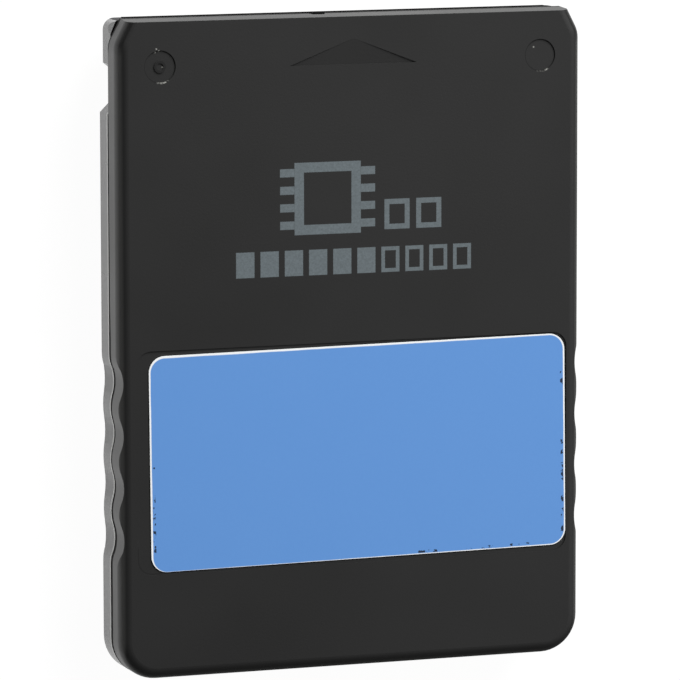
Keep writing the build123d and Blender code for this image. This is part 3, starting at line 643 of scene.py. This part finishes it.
def crystal_can():
    """Sealed resonator: a plated lid with faint brush lines, on a base of buff alumina."""
    material, tree, shader, place = new_material("plated_lid_on_alumina", {"IOR": 1.6})
    axes = add(tree, "SeparateXYZ", {0: place})
    lid_z = box_mm("crystal")[0].z + CRYSTAL_BASE_HEIGHT
    lid = add(tree, "Math", {0: axes.outputs["Z"], 1: lid_z + 0.001}, operation="GREATER_THAN")
    drawn = add(tree, "VectorMath", {0: place, 1: (1 / 3.0, 1 / 0.08, 1 / 0.08)}, operation="MULTIPLY")
    brush = add(tree, "TexNoise", {"Vector": drawn, "Scale": 1.0, "Detail": 3.0})
    plate = add(
        tree, "Mix", {"Factor": brush, "A": linear("#BDB7A6"), "B": linear("#DAD5C6")}, data_type="RGBA"
    )
    specks = add(tree, "TexNoise", {"Vector": place, "Scale": 1 / 0.2, "Detail": 2.0})
    alumina = add(
        tree, "Mix", {"Factor": specks, "A": linear("#8E7F6A"), "B": linear("#A79880")}, data_type="RGBA"
    )
    can = add(tree, "Mix", {"Factor": lid, "A": alumina, "B": plate}, data_type="RGBA")
    lid_gloss = add(
        tree, "MapRange", {"Value": brush, "From Min": 0.3, "From Max": 0.7, "To Min": 0.2, "To Max": 0.34}
    )
    gloss = add(tree, "Mix", {"Factor": lid, "A": 0.6, "B": lid_gloss}, data_type="FLOAT")
    bump = add(tree, "Bump", {"Height": brush, "Strength": 0.15, "Distance": 0.005 * MM})
    finish_material(tree, shader, Base_Color=can, Roughness=gloss, Metallic=lid, Normal=bump)
    return material


def capped_chip(name, node, dark, light, cap_length, stripe=None):
    """A chip part along Y: a fine-grained body with tinned caps at both ends, and for a polar part a stripe
    by its +Y cap."""
    material, tree, shader, place = new_material(name, {"IOR": 1.6})
    low, high = box_mm(node)
    axes = add(tree, "SeparateXYZ", {0: place})
    grain = add(tree, "TexNoise", {"Vector": place, "Scale": 1 / 0.15, "Detail": 3.0})
    body = add(tree, "Mix", {"Factor": grain, "A": linear(dark), "B": linear(light)}, data_type="RGBA")
    if stripe:
        stripe_y = high.y - cap_length - stripe[1]
        striped = add(tree, "Math", {0: axes.outputs["Y"], 1: stripe_y}, operation="GREATER_THAN")
        body = add(tree, "Mix", {"Factor": striped, "A": body, "B": linear(stripe[0])}, data_type="RGBA")
    off_middle = add(tree, "Math", {0: axes.outputs["Y"], 1: (low.y + high.y) / 2}, operation="SUBTRACT")
    along = add(tree, "Math", {0: off_middle}, operation="ABSOLUTE")
    cap_from = (high.y - low.y) / 2 - cap_length
    cap = add(tree, "Math", {0: along, 1: cap_from}, operation="GREATER_THAN")
    tin = add(
        tree, "Mix", {"Factor": grain, "A": linear("#A9A9A4"), "B": linear("#CFCFCA")}, data_type="RGBA"
    )
    part = add(tree, "Mix", {"Factor": cap, "A": body, "B": tin}, data_type="RGBA")
    satin = add(
        tree, "MapRange", {"Value": grain, "From Min": 0.3, "From Max": 0.7, "To Min": 0.36, "To Max": 0.52}
    )
    bump = add(tree, "Bump", {"Height": grain, "Strength": 0.25, "Distance": 0.01 * MM})
    finish_material(tree, shader, Base_Color=part, Roughness=satin, Metallic=cap, Normal=bump)
    return material


dress(front_shell_abs(), "front_shell")
dress(rear_shell_abs(), "rear_shell")
dress(label_film(), "front_label")
dress(carrier_pbt(), "contact_carrier")
dress(contact_gold(), *[f"contact_{number}" for number in range(1, 9)])
dress(board_fr4(), "circuit_board")
dress(chip_epoxy(), "flash_chip", "controller_chip", "voltage_regulator")
dress(lead_tin(), "flash_chip_leads", "controller_chip_leads", "voltage_regulator_leads")
dress(crystal_can(), "crystal")

# Moulded tantalum: ochre epoxy with a brown stripe at its positive end
dress(
    capped_chip("tantalum_epoxy", "bulk_capacitor", "#B07A26", "#C8913A", 0.12, ("#5E3A18", 0.6)),
    "bulk_capacitor",
)

# Layered ceramic: dull brown. Resistors: black glass over alumina
dress(
    capped_chip("capacitor_ceramic", "decoupling_capacitors", "#84684A", "#9E8060", 0.35),
    "decoupling_capacitors",
)
dress(capped_chip("resistor_glass", "resistors", "#17181A", "#26282B", 0.35), "resistors")


# White floor: seen white, and it keeps the card's soft shadow
FLOOR_WHITE_SHARE = 0.92
SHADE_SLOPE = (-1.15 / MM, 1.0 / MM, 0.0)
SHADE_SPAN = (-28.0, -3.0)
SHADE_LOW = 0.12
SEEN_WHITE = 1.05


def floor_paper():
    """Matt white paper. Camera, glossy and clear rays see most of it as plain white."""
    material = bpy.data.materials.new("matt_white_paper")
    material.use_nodes = True
    tree = material.node_tree
    tree.nodes.clear()
    rays = add(tree, "LightPath")
    mirrored = larger(tree, rays.outputs["Is Glossy Ray"], rays.outputs["Is Transmission Ray"])
    seen = larger(tree, rays.outputs["Is Camera Ray"], mirrored)
    share = add(tree, "Math", {0: seen, 1: FLOOR_WHITE_SHARE}, operation="MULTIPLY")
    paper = add(tree, "BsdfDiffuse", {"Color": linear("#F4F4F2")})

    # The paper falls off into shade to the right and below the card, which only its mirror image shows
    coordinates = add(tree, "TexCoord")
    slope = add(
        tree, "VectorMath", {0: coordinates.outputs["Object"], 1: SHADE_SLOPE}, operation="DOT_PRODUCT"
    )
    shade = add(
        tree,
        "MapRange",
        {
            "Value": slope,
            "From Min": SHADE_SPAN[0],
            "From Max": SHADE_SPAN[1],
            "To Min": SHADE_LOW,
            "To Max": SEEN_WHITE,
        },
        interpolation_type="SMOOTHSTEP",
    )
    strength = add(
        tree, "Mix", {"Factor": rays.outputs["Is Camera Ray"], "A": shade, "B": SEEN_WHITE}, data_type="FLOAT"
    )
    white = add(tree, "Emission", {"Color": linear("#FFFFFF"), "Strength": strength})
    mixed = add(tree, "MixShader", {0: share, 1: paper, 2: white})

    # Seen from below it is clear, so that the card's back shows
    sheet_side = add(tree, "NewGeometry")
    from_below = both(tree, sheet_side.outputs["Backfacing"], rays.outputs["Is Camera Ray"])
    clear = add(tree, "BsdfTransparent")
    sheet = add(tree, "MixShader", {0: from_below, 1: mixed, 2: clear})
    add(tree, "OutputMaterial", {"Surface": sheet})
    return material


FLOOR_SIZE = 6.0
FLOOR_Z = 0.004 * MM  # a hair above the card's back, so that the two faces are never level
floor_mesh = bpy.data.meshes.new("floor")
shape = bmesh.new()
bmesh.ops.create_grid(shape, x_segments=1, y_segments=1, size=FLOOR_SIZE / 2)
bmesh.ops.translate(shape, verts=shape.verts, vec=(0, 0, FLOOR_Z))
shape.to_mesh(floor_mesh)
shape.free()
floor = bpy.data.objects.new("floor", floor_mesh)
floor_mesh.materials.append(floor_paper())
scene.collection.objects.link(floor)

# Soft studio light: a dim even room, one large soft box, a weak fill and a soft box for the back
ROOM_STRENGTH = 0.14
world = bpy.data.worlds.new("studio_room")
scene.world = world
world.use_nodes = True
world.node_tree.nodes["Background"].inputs["Color"].default_value = linear("#FFFFFF")
world.node_tree.nodes["Background"].inputs["Strength"].default_value = ROOM_STRENGTH


def soft_box(name, direction, distance, size, power):
    """A square area lamp that faces the middle of the card's face from a direction."""
    lamp = bpy.data.lights.new(name, "AREA")
    lamp.shape = "SQUARE"
    lamp.size = size
    lamp.energy = power
    holder = bpy.data.objects.new(name, lamp)
    holder.location = Vector((0, 0, FACE_Z * MM)) + Vector(direction).normalized() * distance
    holder.rotation_euler = Vector(direction).to_track_quat("Z", "Y").to_euler()
    scene.collection.objects.link(holder)


soft_box("key_soft_box", (0.4, 0.78, 0.5), 1.0, 0.6, 18.0)
soft_box("fill_soft_box", (0.8, -0.1, 0.6), 0.3, 0.2, 0.12)
soft_box("under_soft_box", (0.3, -0.5, -0.8), 1.0, 0.8, 14.0)

# Camera at the photograph's angle, worked out from the card's straight edges
YAW, PITCH, ROLL = (math.radians(angle) for angle in (19.4395, 7.6521, 0.1051))
CAMERA_DISTANCE = 486.924
CAMERA_SHIFT = (1.0987, -0.3351)
CAMERA_TARGET = Vector((0, -0.09, FACE_Z))
FOCAL_SHARE = 5671.76 / 680  # focal length against the picture's width
turn = Matrix.Rotation(ROLL, 3, "Z") @ Matrix.Rotation(PITCH, 3, "X") @ Matrix.Rotation(YAW, 3, "Y")
camera = bpy.data.cameras.new("camera")
camera.sensor_width = 36.0
camera.lens = camera.sensor_width * FOCAL_SHARE
camera.clip_start = 0.01
viewer = bpy.data.objects.new("camera", camera)
viewer.location = (
    turn.transposed() @ Vector((-CAMERA_SHIFT[0], -CAMERA_SHIFT[1], CAMERA_DISTANCE)) + CAMERA_TARGET
) * MM
viewer.rotation_euler = turn.transposed().to_euler()
scene.collection.objects.link(viewer)
scene.camera = viewer
scene.view_settings.view_transform = "Standard"
